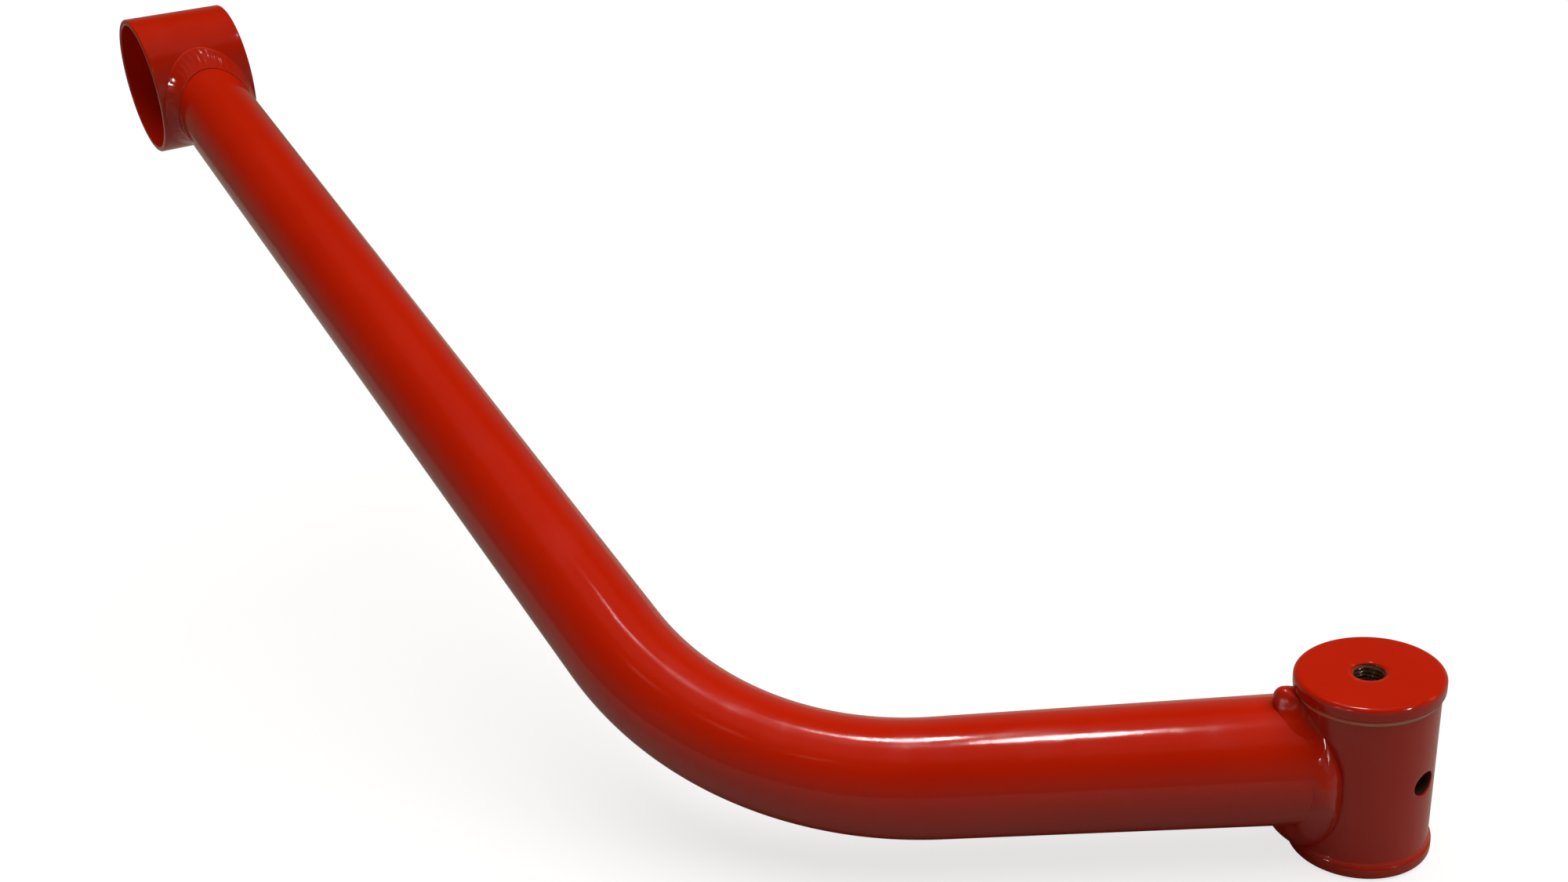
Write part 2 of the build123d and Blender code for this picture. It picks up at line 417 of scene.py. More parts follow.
# Bushing eye: a plain sleeve with rounded rims
eyeHalf = mounts["eye_bore"]["dims"]["length_mm"] / 2000 + eye["edgeBreak"]
rim = eye["rimRound"]
innerRim = eye["boreRimRound"]
profile = [(a, eye["radius"]) for a in spread(-eyeHalf + rim, eyeHalf - rim, eye["skinRows"])]
profile += roundedCorner(eyeHalf - rim, eye["radius"] - rim, rim, 0, 90)[1:]
profile += [(eyeHalf, lerp(eye["radius"] - rim, eyeBoreRadius + innerRim, t)) for t in (0.33, 0.67)]
profile += roundedCorner(eyeHalf - innerRim, eyeBoreRadius + innerRim, innerRim, 90, 180)
boreRows = spread(eyeHalf - innerRim, -eyeHalf + innerRim, eye["boreRows"])[1:-1]
profile += [(a, eyeBoreRadius) for a in boreRows]
profile += roundedCorner(-eyeHalf + innerRim, eyeBoreRadius + innerRim, innerRim, 180, 270)
profile += [(-eyeHalf, lerp(eyeBoreRadius + innerRim, eye["radius"] - rim, t)) for t in (0.33, 0.67)]
profile += roundedCorner(-eyeHalf + rim, eye["radius"] - rim, rim, 270, 360)[:-1]
bushingEye = skin("bushingEye", lathe(eyeCentre, boreWay, eyeLegWay, profile, eye["columns"]))
finishPiece(bushingEye, ["bushing_eye"], [eyeCoat])
print("bushing eye made")

# Pivot barrel, with its vent hole
ventTurn = math.radians(barrel["ventBearing"])
ventWay = Vector((math.cos(ventTurn), math.sin(ventTurn), 0))
ventSide = upward.cross(ventWay)


def barrelPoint(radius, across, height):
    # A point on the barrel's skin, given by how far it lies to the side of the vent's axis
    return barrelMiddle + ventWay * math.sqrt(radius ** 2 - across ** 2) + ventSide * across + upward * height


def barrelSkin(radius, lipRings):
    # One wall of the barrel, with a window of cells left out round the vent and filled by rings
    columns, rows = barrel["columns"], barrel["rows"]
    window, rowWindow = barrel["windowColumns"], barrel["windowRows"]
    points, faces = [], []
    heights = spread(-barrelHalf, barrelHalf, rows)
    for height in heights:
        for c in range(columns):
            a = fullTurn * c / columns
            spoke = ventWay * math.cos(a) + ventSide * math.sin(a)
            points.append(barrelMiddle + spoke * radius + upward * height)
    middleRow = rows // 2

    def corner(r, c):
        return r * columns + c % columns

    for r in range(rows):
        for c in range(-columns // 2, columns // 2):
            inWindow = -window <= c < window and middleRow - rowWindow <= r < middleRow + rowWindow
            if not inWindow:
                faces.append((corner(r, c), corner(r, c + 1), corner(r + 1, c + 1), corner(r + 1, c)))
    edge = [(middleRow - rowWindow, c) for c in range(-window, window)]
    edge += [(r, window) for r in range(middleRow - rowWindow, middleRow + rowWindow)]
    edge += [(middleRow + rowWindow, c) for c in range(window, -window, -1)]
    edge += [(r, -window) for r in range(middleRow + rowWindow, middleRow - rowWindow, -1)]
    ring = [corner(r, c) for r, c in edge]
    flat = [(radius * math.sin(fullTurn * c / columns), heights[r]) for r, c in edge]
    angles = [math.atan2(h, a) for a, h in flat]
    firstOut, _ = lipRings[0]
    for t in (0.25, 0.5, 0.75):
        inner = []
        for (across, height), a in zip(flat, angles):
            inner.append((lerp(across, firstOut * math.cos(a), t), lerp(height, firstOut * math.sin(a), t)))
        ring = addRing(points, faces, ring, [barrelPoint(radius, across, height) for across, height in inner])
    for out, sink in lipRings:
        lip = []
        for a in angles:
            p = barrelPoint(radius, out * math.cos(a), out * math.sin(a))
            lip.append(p - ventWay * sink)
        ring = addRing(points, faces, ring, lip)
    return points, faces, ring


def addRing(points, faces, ring, fresh):
    start = len(points)
    points.extend(fresh)
    count = len(fresh)
    added = list(range(start, start + count))
    for k in range(count):
        m = (k + 1) % count
        faces.append((ring[k], ring[m], added[m], added[k]))
    return added


lip = barrel["lipRound"]
ventLip = [(barrel["ventRadius"] + lip, 0)]
for degrees in (22.5, 45, 67.5, 90):
    a = math.radians(degrees)
    ventLip.append((barrel["ventRadius"] + lip * (1 - math.sin(a)), lip * (1 - math.cos(a))))
boreRadius = barrel["radius"] - barrel["wall"]
ventLip.append((barrel["ventRadius"], lip + barrel["paintedMouth"]))
outerPoints, outerFaces, outerRing = barrelSkin(barrel["radius"], ventLip)
innerPoints, innerFaces, innerRing = barrelSkin(boreRadius, [(barrel["ventRadius"], 0)])
offset = len(outerPoints)
faces = outerFaces + [tuple(v + offset for v in f[::-1]) for f in innerFaces]
slots = [0] * len(outerFaces) + [1] * len(innerFaces)
count = len(outerRing)
for k in range(count):
    m = (k + 1) % count
    faces.append((outerRing[k], outerRing[m], innerRing[m] + offset, innerRing[k] + offset))
    slots.append(1)
topRow = barrel["rows"] * barrel["columns"]
for c in range(barrel["columns"]):
    d = (c + 1) % barrel["columns"]
    faces.append((c + offset, d + offset, d, c))
    faces.append((topRow + c, topRow + d, topRow + d + offset, topRow + c + offset))
    slots += [1, 1]
mesh = bpy.data.meshes.new("pivotBarrel")
mesh.from_pydata(outerPoints + innerPoints, [], faces)
mesh.polygons.foreach_set("material_index", slots)
pivotBarrel = finishMesh("pivotBarrel", mesh)
finishPiece(pivotBarrel, ["pivot_barrel"], [barrelCoat, hiddenSteel])
print("pivot barrel made")

# Tapped thread, made by Geometry Nodes
thread = {
    "Length": 0.020, "Pitch": 0.0015, "Crest Radius": 0.00425, "Root Radius": 0.00505,
    "Mouth Radius": 0.0053, "Columns": 96, "Rows": 200,
}


def threadTree():
    tree = bpy.data.node_groups.new("tappedThread", "GeometryNodeTree")
    tree.interface.new_socket(name="Geometry", in_out="INPUT", socket_type="NodeSocketGeometry")
    for label, value in thread.items():
        kind = "NodeSocketInt" if isinstance(value, int) else "NodeSocketFloat"
        tree.interface.new_socket(name=label, in_out="INPUT", socket_type=kind)
    tree.interface.new_socket(name="Material", in_out="INPUT", socket_type="NodeSocketMaterial")
    tree.interface.new_socket(name="Geometry", in_out="OUTPUT", socket_type="NodeSocketGeometry")
    given = tree.nodes.new("NodeGroupInput").outputs
    made = tree.nodes.new("NodeGroupOutput")
    sheet = addNode(tree, "GeometryNodeMeshGrid", {"Size X": 1.0, "Size Y": 1.0})
    tree.links.new(math2(tree, "ADD", given["Columns"], 1), sheet.inputs["Vertices X"])
    tree.links.new(given["Rows"], sheet.inputs["Vertices Y"])
    where = addNode(tree, "ShaderNodeSeparateXYZ")
    tree.links.new(tree.nodes.new("GeometryNodeInputPosition").outputs[0], where.inputs[0])
    share = math2(tree, "ADD", where.outputs["X"], 0.5)
    height = math2(tree, "MULTIPLY", math2(tree, "ADD", where.outputs["Y"], 0.5), given["Length"])
    # The groove climbs one pitch for each turn, and its flanks are straight
    phase = math2(tree, "SUBTRACT", math2(tree, "DIVIDE", height, given["Pitch"]), share)
    flank = math2(tree, "MULTIPLY", math2(tree, "PINGPONG", phase, 0.5), 2.0)
    groove = addNode(tree, "ShaderNodeMapRange", {"From Min": 0.14, "From Max": 0.86})
    tree.links.new(flank, groove.inputs["Value"])
    tree.links.new(given["Crest Radius"], groove.inputs["To Min"])
    tree.links.new(given["Root Radius"], groove.inputs["To Max"])
    # Both ends are countersunk at 45 degrees
    topCone = math2(tree, "SUBTRACT", given["Mouth Radius"], math2(tree, "SUBTRACT", given["Length"], height))
    footCone = math2(tree, "SUBTRACT", given["Root Radius"], height)
    out = math2(tree, "MAXIMUM", math2(tree, "MAXIMUM", groove.outputs["Result"], topCone), footCone)
    angle = math2(tree, "MULTIPLY", share, fullTurn)
    spot = addNode(tree, "ShaderNodeCombineXYZ")
    tree.links.new(math2(tree, "MULTIPLY", out, math2(tree, "COSINE", angle)), spot.inputs["X"])
    tree.links.new(math2(tree, "MULTIPLY", out, math2(tree, "SINE", angle)), spot.inputs["Y"])
    tree.links.new(height, spot.inputs["Z"])
    placed = tree.nodes.new("GeometryNodeSetPosition")
    tree.links.new(sheet.outputs["Mesh"], placed.inputs["Geometry"])
    tree.links.new(spot.outputs["Vector"], placed.inputs["Position"])
    solid = tree.nodes.new("GeometryNodeRealizeInstances")
    tree.links.new(placed.outputs["Geometry"], solid.inputs["Geometry"])
    dressed = tree.nodes.new("GeometryNodeSetMaterial")
    tree.links.new(solid.outputs["Geometry"], dressed.inputs["Geometry"])
    tree.links.new(given["Material"], dressed.inputs["Material"])
    tree.links.new(dressed.outputs["Geometry"], made.inputs[0])
    return tree


def runTree(name, tree, values, carrier=None):
    # Runs a Geometry Nodes tree once and hands back the plain mesh that it makes
    if carrier is None:
        carrier = bpy.data.objects.new(name, bpy.data.meshes.new(name))
        scene.collection.objects.link(carrier)
    modifier = carrier.modifiers.new(name, "NODES")
    modifier.node_group = tree
    for item in tree.interface.items_tree:
        if item.item_type == "SOCKET" and item.in_out == "INPUT" and item.name in values:
            modifier[item.identifier] = values[item.name]
    bpy.context.view_layer.update()
    graph = bpy.context.evaluated_depsgraph_get()
    mesh = bpy.data.meshes.new_from_object(carrier.evaluated_get(graph))
    carrier.modifiers.remove(modifier)
    bpy.data.objects.remove(carrier)
    return mesh


threadMesh = runTree("tappedThread", threadTree(), {**thread, "Material": tappedSteel})
print("thread made with", len(threadMesh.vertices), "points")

# End plugs: a flange, and a spigot down inside the barrel
plug = {
    "flange": 0.02165, "thickness": 0.005, "rimRound": 0.0018, "underRound": 0.0007, "faceRings": 12,
    "spigot": 0.0158, "spigotLength": 0.015, "shoulder": 0.002, "spigotChamfer": 0.001, "bareDepth": 0.00085,
}


def endPlug(name, nodeName, seatHeight, axis):
    seat = barrelMiddle + upward * seatHeight
    side = Vector((1, 0, 0))
    face, edge, under = plug["thickness"], plug["rimRound"], plug["underRound"]
    spigot, depth, cut = plug["spigot"], plug["spigotLength"], plug["spigotChamfer"]
    rings = plug["faceRings"]
    profile = [(face, lerp(thread["Mouth Radius"], plug["flange"] - edge, t / rings)) for t in range(rings)]
    profile += roundedCorner(face - edge, plug["flange"] - edge, edge, 90, 0, 9)
    profile += [(lerp(face - edge, under, 0.5), plug["flange"])]
    profile += roundedCorner(under, plug["flange"] - under, under, 0, -90, 5)
    profile += [(0, spigot + plug["shoulder"]), (0, spigot)]
    profile += [(-depth + cut, spigot), (-depth, spigot - cut), (-depth, thread["Root Radius"])]
    rows = lathe(seat, axis, side, profile, thread["Columns"])
    points = [p for row in rows for p in row]
    columns = thread["Columns"]
    faces, slots = [], []
    spigotRow = len(profile) - 5
    for r in range(len(rows) - 1):
        for c in range(columns):
            d = (c + 1) % columns
            faces.append((r * columns + c, r * columns + d, (r + 1) * columns + d, (r + 1) * columns + c))
            slots.append(0 if r < spigotRow else 1)
    start = len(points)
    cross = axis.cross(side)
    foot = seat - axis * depth
    for vertex in threadMesh.vertices:
        points.append(foot + side * vertex.co.x + cross * vertex.co.y + axis * vertex.co.z)
    paintFrom = thread["Length"] - plug["bareDepth"]
    for polygon in threadMesh.polygons:
        faces.append(tuple(start + v for v in polygon.vertices))
        slots.append(0 if polygon.center.z > paintFrom else 1)
    mesh = bpy.data.meshes.new(name)
    mesh.from_pydata(points, [], faces)
    mesh.polygons.foreach_set("material_index", slots)
    piece = finishMesh(name, mesh, 2e-6)
    finishPiece(piece, [nodeName], [plugCoat, tappedSteel])


endPlug("upperEndPlug", "upper_end_plug", barrelHalf, upward)
endPlug("lowerEndPlug", "lower_end_plug", -barrelHalf, -upward)
print("end plugs made")


rippleBow = 0.6  # how far a ripple bows in the middle of its bead, as a share of the pitch


def rippleTree():
    # Pushes a bead's skin in and out: the even ripple of the torch, and the odd lump
    tree = bpy.data.node_groups.new("weldRipple", "GeometryNodeTree")
    tree.interface.new_socket(name="Geometry", in_out="INPUT", socket_type="NodeSocketGeometry")
    for label in ("Ripple Pitch", "Ripple Height", "Lump Size", "Lump Height", "Seed"):
        tree.interface.new_socket(name=label, in_out="INPUT", socket_type="NodeSocketFloat")
    tree.interface.new_socket(name="Material", in_out="INPUT", socket_type="NodeSocketMaterial")
    tree.interface.new_socket(name="Geometry", in_out="OUTPUT", socket_type="NodeSocketGeometry")
    given = tree.nodes.new("NodeGroupInput").outputs
    made = tree.nodes.new("NodeGroupOutput")
    along, across = (
        addNode(tree, "GeometryNodeInputNamedAttribute", {"Name": n}, data_type="FLOAT").outputs["Attribute"]
        for n in ("along", "across"))
    # The ripples bow forward in the middle of the bead and die out at its edges
    crown = math2(tree, "SINE", math2(tree, "MULTIPLY", across, math.pi))
    pitches = math2(tree, "DIVIDE", along, given["Ripple Pitch"])
    turns = math2(tree, "ADD", pitches, math2(tree, "MULTIPLY", crown, rippleBow))
    crest = math2(tree, "PINGPONG", turns, 0.5)
    rippleHeight = math2(tree, "MULTIPLY", given["Ripple Height"], 2.0)
    ripple = math2(tree, "MULTIPLY", math2(tree, "MULTIPLY", crest, crown), rippleHeight)
    lumps = addNode(tree, "ShaderNodeTexNoise", {"Detail": 1.5, "Roughness": 0.5}, noise_dimensions="4D")
    tree.links.new(math2(tree, "DIVIDE", 1.0, given["Lump Size"]), lumps.inputs["Scale"])
    tree.links.new(given["Seed"], lumps.inputs["W"])
    centred = math2(tree, "SUBTRACT", lumps.outputs["Fac"], 0.5)
    lumpHeight = math2(tree, "MULTIPLY", given["Lump Height"], 2.0)
    lump = math2(tree, "MULTIPLY", math2(tree, "MULTIPLY", centred, crown), lumpHeight)
    push = addNode(tree, "ShaderNodeVectorMath", operation="SCALE")
    tree.links.new(tree.nodes.new("GeometryNodeInputNormal").outputs[0], push.inputs[0])
    tree.links.new(math2(tree, "ADD", ripple, lump), push.inputs["Scale"])
    moved = tree.nodes.new("GeometryNodeSetPosition")
    tree.links.new(given["Geometry"], moved.inputs["Geometry"])
    tree.links.new(push.outputs["Vector"], moved.inputs["Offset"])
    solid = tree.nodes.new("GeometryNodeRealizeInstances")
    tree.links.new(moved.outputs["Geometry"], solid.inputs["Geometry"])
    dressed = tree.nodes.new("GeometryNodeSetMaterial")
    tree.links.new(solid.outputs["Geometry"], dressed.inputs["Geometry"])
    tree.links.new(given["Material"], dressed.inputs["Material"])
    tree.links.new(dressed.outputs["Geometry"], made.inputs[0])
    return tree


weldRipple = rippleTree()


def bead(name, nodeName, sections, values, coat=beadCoat):
    # Sections go round the joint. Each is a row of points from one toe to the other,
    # and a last point that lies buried in the root
    count, wide = len(sections), len(sections[0])
    points = [p for section in sections for p in section]
    faces = []
    for k in range(count):
        m = (k + 1) % count
        for j in range(wide):
            i = (j + 1) % wide
            faces.append((k * wide + j, m * wide + j, m * wide + i, k * wide + i))
    mesh = bpy.data.meshes.new(name)
    mesh.from_pydata(points, [], faces)
    along, across = [], []
    travelled = 0.0
    middle = wide // 2
    for k in range(count):
        for j in range(wide):
            along.append(travelled)
            across.append(j / (wide - 2) if j < wide - 1 else 0.0)
        travelled += (sections[(k + 1) % count][middle] - sections[k][middle]).length
    # Ripples close up where the bead meets its own start
    fit = round(travelled / values["Ripple Pitch"]) * values["Ripple Pitch"] / travelled
    for label, data in (("along", [a * fit for a in along]), ("across", across)):
        mesh.attributes.new(label, "FLOAT", "POINT").data.foreach_set("value", data)
    carrier = finishMesh(name, mesh, 1e-9)
    plain = runTree(name, weldRipple, {**values, "Material": coat}, carrier)
    piece = finishMesh(name, plain, 1e-9)
    finishPiece(piece, [nodeName], [coat])


def bezier(a, b, c, t):
    return a * (1 - t) ** 2 + b * 2 * t * (1 - t) + c * t ** 2


# Bead round the tube at the eye
eyeBead = {
    "sections": 240, "steps": 18, "tubeLeg": 0.0052, "nearLeg": 0.0062, "sideLeg": 0.0070, "farLeg": 0.0030,
    "sink": -0.00015, "hollow": 0.3, "Ripple Pitch": 0.0035, "Ripple Height": 0.0002,
    "Lump Size": 0.009, "Lump Height": 0.0004, "Seed": 3.0,
    "uneven": 0.08, "unevenTurns": 2.2, "unevenSeed": 4.0, "buried": 0.0015,
}


def unevenness(plan, a):
    # A slow drift in the bead's width, round the joint
    turns = plan["unevenTurns"]
    spot = Vector((math.cos(a) * turns, math.sin(a) * turns, plan["unevenSeed"]))
    return 1 + plan["uneven"] * noise.noise(spot)


def eyeSkinPoint(reach, a, out=0.0):
    # On the eye's skin, where a line beside the tube's axis at this reach and angle comes down
    across = reach * math.sin(a)
    height = math.sqrt((eye["radius"] + out) ** 2 - across ** 2)
    return eyePoint + boreWay * reach * math.cos(a) + eyeSideWay * across + eyeLegWay * height


def eyeBeadSections():
    sections = []
    r, sink = tube["radius"], eyeBead["sink"]
    lean = (eyeBead["nearLeg"] - eyeBead["farLeg"]) / 2
    narrow = (eyeBead["nearLeg"] + eyeBead["farLeg"]) / 2 - eyeBead["sideLeg"]
    for k in range(eyeBead["sections"]):
        a = fullTurn * k / eyeBead["sections"]
        spoke = boreWay * math.cos(a) + eyeSideWay * math.sin(a)
        # The bead is cramped where the sleeve ends close beside the tube
        leg = eyeBead["sideLeg"] + lean * math.cos(a) + narrow * math.cos(a) ** 2
        root = eyeSkinPoint(r, a)
        tubeToe = root + eyeLegWay * eyeBead["tubeLeg"] * unevenness(eyeBead, a) - spoke * sink
        eyeToe = eyeSkinPoint(r + leg, a, -sink)
        control = root.lerp((tubeToe + eyeToe) / 2, 1 - eyeBead["hollow"])
        section = [bezier(tubeToe, control, eyeToe, t) for t in spread(0, 1, eyeBead["steps"])]
        section.append(root - spoke * eyeBead["buried"] - eyeLegWay * eyeBead["buried"])
        sections.append(section)
    return sections


bead("eyeWeld", "eye_weld", eyeBeadSections(), eyeBead)

# Wide bead between the tube's cut end and the barrel
barrelBead = {
    "sections": 280, "steps": 22, "sideLeg": 0.0048, "topLeg": 0.0066, "footLeg": 0.0090,
    "toeAcross": 0.0179, "toeTop": 0.0272, "toeFoot": 0.0342, "sink": 0.00012,
    "toeTopPower": 0.9, "toeFootPower": 0.6, "climbFrom": 0.0290, "climbOver": 0.0025,
    "crown": 0.0006, "crownLean": 0.6, "crownUntil": 0.15, "crownFade": 0.5,
    "hollow": 0.42, "footHollow": -0.15,
    "Ripple Pitch": 0.004, "Ripple Height": 0.0001, "Lump Size": 0.010, "Lump Height": 0.0002, "Seed": 11.0,
    "uneven": 0.07, "unevenTurns": 2.0, "unevenSeed": 9.0, "buriedAlong": 0.002, "buriedIn": 0.004,
    # Start and stop lumps: degrees round the tube from its top, spread in degrees, and height
    "stops": ((3.0, 13.0, 0.0056), (-26.0, 6.0, 0.0008), (150.0, 14.0, 0.0012)),
    "stopLean": 0.8, "stopFlatness": 0.7,
}


def barrelBeadSections():
    sections = []
    r, sink = tube["radius"], barrelBead["sink"]
    for k in range(barrelBead["sections"]):
        a = fullTurn * k / barrelBead["sections"]  # from the top of the tube, round by its far side
        rise = math.cos(a)
        spoke = upward * rise + pivotSideWay * math.sin(a)
        setback = barrelSaddle(r, spoke)
        endLeg = barrelBead["topLeg"] if rise > 0 else barrelBead["footLeg"]
        leg = lerp(barrelBead["sideLeg"], endLeg, abs(rise)) * unevenness(barrelBead, a)
        tubeToe = pivotPoint - pivotLegWay * (setback + leg) + spoke * (r - sink)
        across = barrelBead["toeAcross"] * math.sin(a)
        # Beneath the tube the bead runs lower and squarer, and climbs on to the side of the flange
        if rise > 0:
            height = barrelBead["toeTop"] * rise ** barrelBead["toeTopPower"]
        else:
            height = -barrelBead["toeFoot"] * (-rise) ** barrelBead["toeFootPower"]
        climb = min(max((-height - barrelBead["climbFrom"]) / barrelBead["climbOver"], 0), 1)
        radius = lerp(barrel["radius"], plug["flange"], climb) - sink
        barrelToe = pivotPoint + pivotSideWay * across + upward * height
        barrelToe -= pivotLegWay * math.sqrt(radius ** 2 - across ** 2)
        root = pivotPoint - pivotLegWay * setback + spoke * r
        chord = (tubeToe + barrelToe) / 2
        # At the sides the bead rides over the tube's cut end, and above and below it is a fillet
        over = root + (spoke + pivotLegWay * barrelBead["crownLean"]).normalized() * barrelBead["crown"]
        fillet = root.lerp(chord, 1 - barrelBead["hollow" if rise > 0 else "footHollow"])
        share = min(max((abs(rise) - barrelBead["crownUntil"]) / barrelBead["crownFade"], 0), 1)
        summit = over.lerp(fillet, share * share * (3 - 2 * share))
        control = summit * 2 - chord
        section = [bezier(tubeToe, control, barrelToe, t) for t in spread(0, 1, barrelBead["steps"])]
        outward = (spoke - pivotLegWay * barrelBead["stopLean"]).normalized()
        for angle, width, lumpHeight in barrelBead["stops"]:
            away = (math.degrees(a) - angle + 180) % 360 - 180
            lump = math.exp(-(away / width) ** 2) * lumpHeight
            for j, point in enumerate(section):
                swell = math.sin(math.pi * j / barrelBead["steps"]) ** barrelBead["stopFlatness"]
                section[j] = point + outward * lump * swell
        buried = pivotPoint - pivotLegWay * (setback - barrelBead["buriedAlong"])
        section.append(buried + spoke * (r - barrelBead["buriedIn"]))
        sections.append(section)
    return sections


bead("barrelWeld", "barrel_weld", barrelBeadSections(), barrelBead)

# The thin seams that hold the plugs in
seam = {
    "columns": 220, "steps": 6, "out": 0.00095, "down": 0.0021, "lap": 0.0001, "sink": 0.00005,
    "controlOut": 0.0002, "controlDown": 0.0003, "buried": 0.0004,
    "Ripple Pitch": 0.003, "Ripple Height": 0.00003, "Lump Size": 0.006, "Lump Height": 0.00012, "Seed": 5.0,
}


def seamSections(seatHeight, axis):
    sections = []
    seat = barrelMiddle + upward * seatHeight
    for k in range(seam["columns"]):
        a = fullTurn * k / seam["columns"]
        spoke = Vector((math.cos(a), math.sin(a), 0))
        root = seat + spoke * barrel["radius"]
        flangeToe = root + spoke * seam["out"] + axis * seam["lap"]
        barrelToe = root - axis * seam["down"] - spoke * seam["sink"]
        control = root + spoke * seam["controlOut"] - axis * seam["controlDown"]
        section = [bezier(flangeToe, control, barrelToe, t) for t in spread(0, 1, seam["steps"])]
        section.append(root - spoke * seam["buried"] + axis * seam["lap"])
        sections.append(section)
    return sections


lowerSeam = {**seam, "Seed": 8.0}
# The upper seam wears the pale coat of painted reflection, and the lower seam wears the plain red bead coat
bead("upperPlugWeld", "upper_plug_weld", seamSections(barrelHalf, upward), seam, seamPaintedReflection)
bead("lowerPlugWeld", "lower_plug_weld", seamSections(-barrelHalf, -upward), lowerSeam, beadCoat)
print("weld beads made")

# The floor is pale to the camera and darker to what it lights and what mirrors it
floorPlan = {
    "size": 30, "middle": 0.3, "lighting": (0.26, 0.22, 0.16, 1), "mirrored": (0.42, 0.38, 0.34, 1),
    "pale": (0.34, 0.34, 0.34, 1), "glow": 0.74,
}
bpy.ops.mesh.primitive_plane_add(size=floorPlan["size"], location=(floorPlan["middle"], 0, cadBox[0].z))
floor = bpy.context.object
floor.name = "paleFloor"
floorCoat = bpy.data.materials.new("paleFloor")
floorCoat.use_nodes = True
tree = floorCoat.node_tree
tree.nodes.clear()
rays = tree.nodes.new("ShaderNodeLightPath")
dark = addNode(tree, "ShaderNodeBsdfDiffuse", {"Color": floorPlan["lighting"]})
sheen = addNode(tree, "ShaderNodeBsdfDiffuse", {"Color": floorPlan["mirrored"]})
pale = addNode(tree, "ShaderNodeBsdfDiffuse", {"Color": floorPlan["pale"]})
glow = addNode(tree, "ShaderNodeEmission", {"Color": (1, 1, 1, 1), "Strength": floorPlan["glow"]})
seen = tree.nodes.new("ShaderNodeAddShader")
pick = tree.nodes.new("ShaderNodeMixShader")
output = tree.nodes.new("ShaderNodeOutputMaterial")
tree.links.new(pale.outputs[0], seen.inputs[0])
tree.links.new(glow.outputs[0], seen.inputs[1])
mirrored = tree.nodes.new("ShaderNodeMixShader")
tree.links.new(rays.outputs["Is Glossy Ray"], mirrored.inputs[0])
tree.links.new(dark.outputs[0], mirrored.inputs[1])
tree.links.new(sheen.outputs[0], mirrored.inputs[2])
tree.links.new(rays.outputs["Is Camera Ray"], pick.inputs[0])
tree.links.new(mirrored.outputs[0], pick.inputs[1])
tree.links.new(seen.outputs[0], pick.inputs[2])
tree.links.new(pick.outputs[0], output.inputs["Surface"])
floor.data.materials.append(floorCoat)

# A dim room: pale walls, and a darker ceiling
roomPlan = {
    "walls": (0.15, 0.16, 0.12, 1), "ceiling": (0.04, 0.02, 0.007, 1), "wallTop": 0.2, "ceilingEdge": 0.65,
}
world = bpy.data.worlds.new("studio")
scene.world = world
world.use_nodes = True
tree = world.node_tree
tree.nodes.clear()
rays = tree.nodes.new("ShaderNodeLightPath")
room = addNode(tree, "ShaderNodeBackground", {"Strength": 1.0})
beyond = addNode(tree, "ShaderNodeBackground", {"Color": (1, 1, 1, 1), "Strength": 1.0})
way = tree.nodes.new("ShaderNodeTexCoord")
parts = tree.nodes.new("ShaderNodeSeparateXYZ")
walls = addNode(tree, "ShaderNodeMapRange", {"From Min": roomPlan["wallTop"],
                                             "From Max": roomPlan["ceilingEdge"]})
shade = addNode(tree, "ShaderNodeMix", data_type="RGBA")
shade.inputs["A"].default_value = roomPlan["walls"]
shade.inputs["B"].default_value = roomPlan["ceiling"]
tree.links.new(way.outputs["Generated"], parts.inputs[0])
tree.links.new(parts.outputs["Z"], walls.inputs["Value"])
tree.links.new(walls.outputs["Result"], shade.inputs["Factor"])
tree.links.new(shade.outputs["Result"], room.inputs["Color"])
pick = tree.nodes.new("ShaderNodeMixShader")
output = tree.nodes.new("ShaderNodeOutputWorld")
tree.links.new(rays.outputs["Is Camera Ray"], pick.inputs[0])
tree.links.new(room.outputs[0], pick.inputs[1])
tree.links.new(beyond.outputs[0], pick.inputs[2])
tree.links.new(pick.outputs[0], output.inputs["Surface"])


def areaLight(name, spot, aim, size, power, colour=(1, 1, 1), mirrored=True, beam=180.0, lit=True):
    data = bpy.data.lights.new(name, "AREA")
    data.shape = "RECTANGLE"
    data.size, data.size_y = size
    data.energy = power
    data.color = colour
    data.spread = math.radians(beam)
    lamp = bpy.data.objects.new(name, data)
    lamp.location = spot
    lamp.rotation_mode = "QUATERNION"
    lamp.rotation_quaternion = (Vector(aim) - Vector(spot)).to_track_quat("-Z", "Y")
    lamp.visible_glossy = mirrored
    lamp.visible_diffuse = lit
    lamp.visible_camera = False
    scene.collection.objects.link(lamp)


# A broad glow from above and behind, and a fill from the front. Neither shows in the gloss
glowPlan = {"energy": 2.75, "angle": 65, "colour": (1, 0.98, 0.95), "way": (-0.10, -0.26, -0.96)}
fillPlan = {"offset": (0.8, -1.7, 0.9), "size": (1.6, 1.2), "power": 0.7, "colour": (1, 0.93, 0.85)}
middle = (cadBox[0] + cadBox[1]) / 2
sky = bpy.data.lights.new("overheadGlow", "SUN")
sky.energy = glowPlan["energy"]
sky.angle = math.radians(glowPlan["angle"])
sky.color = glowPlan["colour"]
skyLamp = bpy.data.objects.new("overheadGlow", sky)
skyLamp.rotation_mode = "QUATERNION"
skyLamp.rotation_quaternion = Vector(glowPlan["way"]).to_track_quat("-Z", "Y")
skyLamp.visible_glossy = False
scene.collection.objects.link(skyLamp)
areaLight("frontFill", middle + Vector(fillPlan["offset"]), middle, fillPlan["size"], fillPlan["power"],
          fillPlan["colour"], mirrored=False)

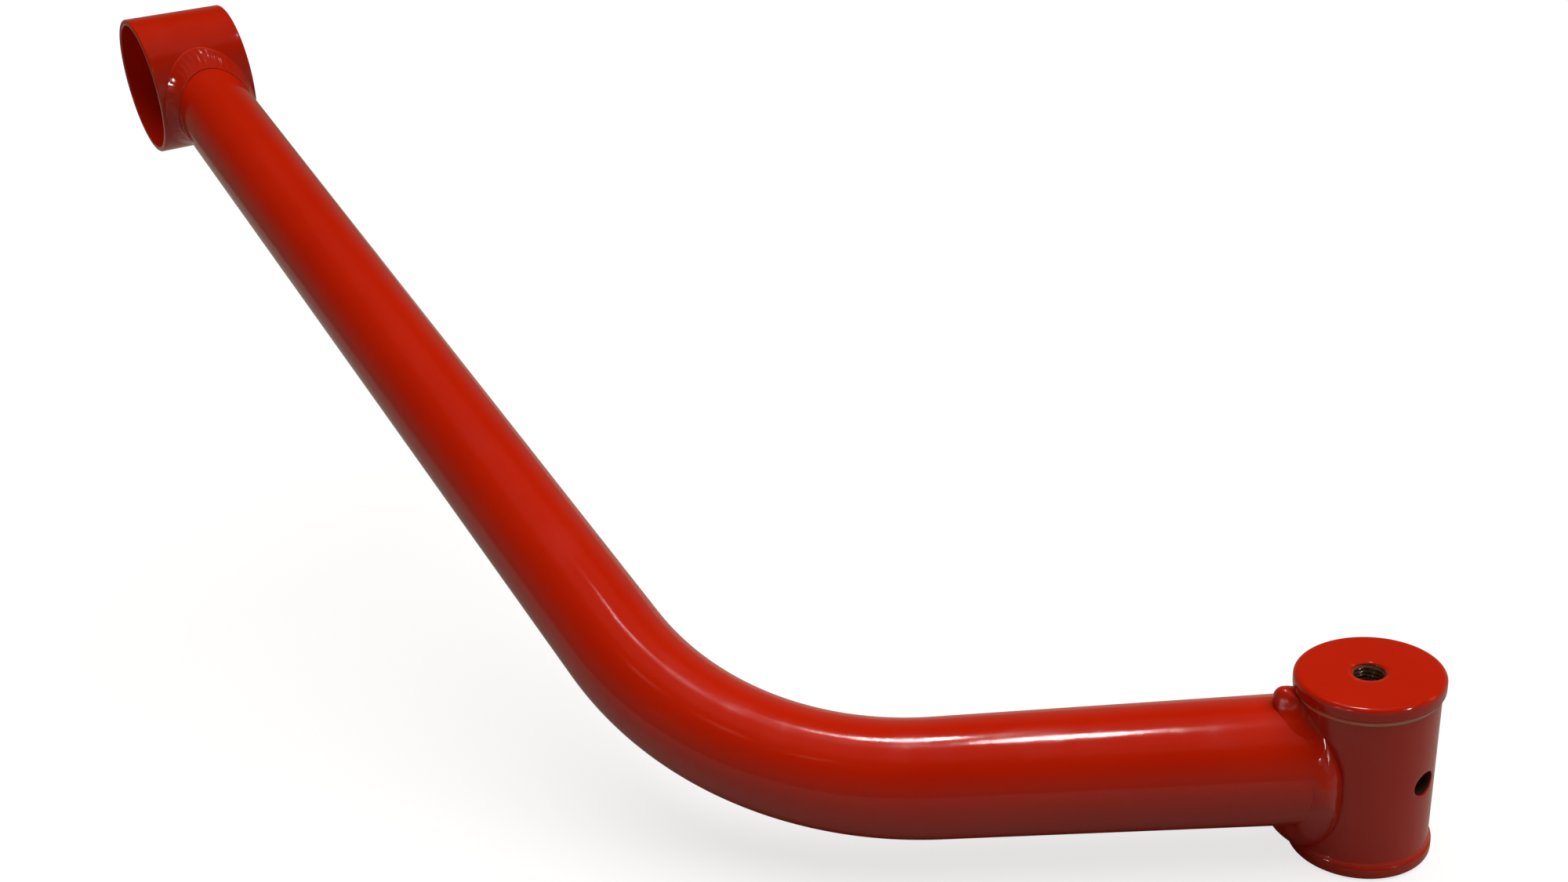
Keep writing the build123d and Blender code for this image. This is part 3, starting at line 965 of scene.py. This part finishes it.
# Small lamps and strips that only show in the gloss, each as one streak or glint:
# where it hangs, what it is aimed at, its size, its power in watts and its beam in degrees
lamps = {
    "longStrip": ((0.41, 0.325, 1.2), (0.60, 0.11, -0.23), (0.20, 0.20), 0.028, 11),
    "shortStrip": ((0.0, 0.39, 1.2), (0.56, 0.06, -0.23), (0.11, 0.20), 0.0100, 8),
    "lowLamp": ((0.306, -0.879, -0.034), (0.65, 0.15, -0.195), (0.10, 0.06), 0.0008, 4),
    "sideStrip": ((0.52, -0.83, 0.13), (0.65, 0.15, -0.195), (0.24, 0.06), 0.0026, 4),
    "footStrip": ((0.52, -0.83, 0.13), (0.65, 0.15, -0.305), (0.24, 0.06), 0.0022, 4),
    "sideLamp": ((0.80, -0.76, 0.32), (0.65, 0.15, -0.195), (0.06, 0.06), 0.0006, 4),
    "farLamp": ((1.55, 0.28, 0.28), (0.65, 0.165, -0.22), (0.10, 0.08), 0.0060, 8),
    "eyeLamp": ((1.137, -0.403, 0.583), (0.035, -0.01, 0.005), (0.12, 0.10), 0.0110, 8),
    "eyeTopLamp": ((0.536, 0.624, 1.042), (0.035, 0.0, 0.01), (0.05, 0.05), 0.0005, 8),
}
for name, (spot, aim, size, power, beam) in lamps.items():
    areaLight(name, spot, aim, size, power, beam=beam, lit=False)

# A row of short tubes, that show as faint dashes in the bend
lampRow = {
    "height": 1.2, "across": (0.40, 0.66, 0.92), "back": -0.78, "lines": (-0.04, 0.04),
    "aim": (0.51, 0.01, -0.23), "size": (0.03, 0.012), "power": 0.00006, "beam": 14,
}
for across in lampRow["across"]:
    for line in lampRow["lines"]:
        spot = (across, lampRow["back"] + line, lampRow["height"])
        areaLight("rowLamp", spot, lampRow["aim"], lampRow["size"], lampRow["power"],
                  beam=lampRow["beam"], lit=False)

cameraPlan = {
    "fromEye": (0.87038, -0.16814, 0.05430), "bearing": -69.095, "down": 29.869, "roll": -15.006,
    "lens": 30.264, "shift": (0.1131, 0.1279), "sensor": 36, "near": 0.01,
}
bearing, down, roll = (math.radians(cameraPlan[k]) for k in ("bearing", "down", "roll"))
look = Vector((math.sin(bearing) * math.cos(down), math.cos(bearing) * math.cos(down), -math.sin(down)))
level = look.cross(upward).normalized()
right = level * math.cos(roll) + level.cross(look) * math.sin(roll)
top = right.cross(look)
camera = bpy.data.objects.new("camera", bpy.data.cameras.new("camera"))
camera.matrix_world = Matrix.Translation(eyeCentre + Vector(cameraPlan["fromEye"])) @ Matrix(
    (right, top, -look)).transposed().to_4x4()
camera.data.sensor_width = cameraPlan["sensor"]
camera.data.lens = cameraPlan["lens"]
camera.data.shift_x, camera.data.shift_y = cameraPlan["shift"]
camera.data.clip_start = cameraPlan["near"]
scene.collection.objects.link(camera)
scene.camera = camera
scene.view_settings.view_transform = "Standard"
print("stage, lights and camera placed")
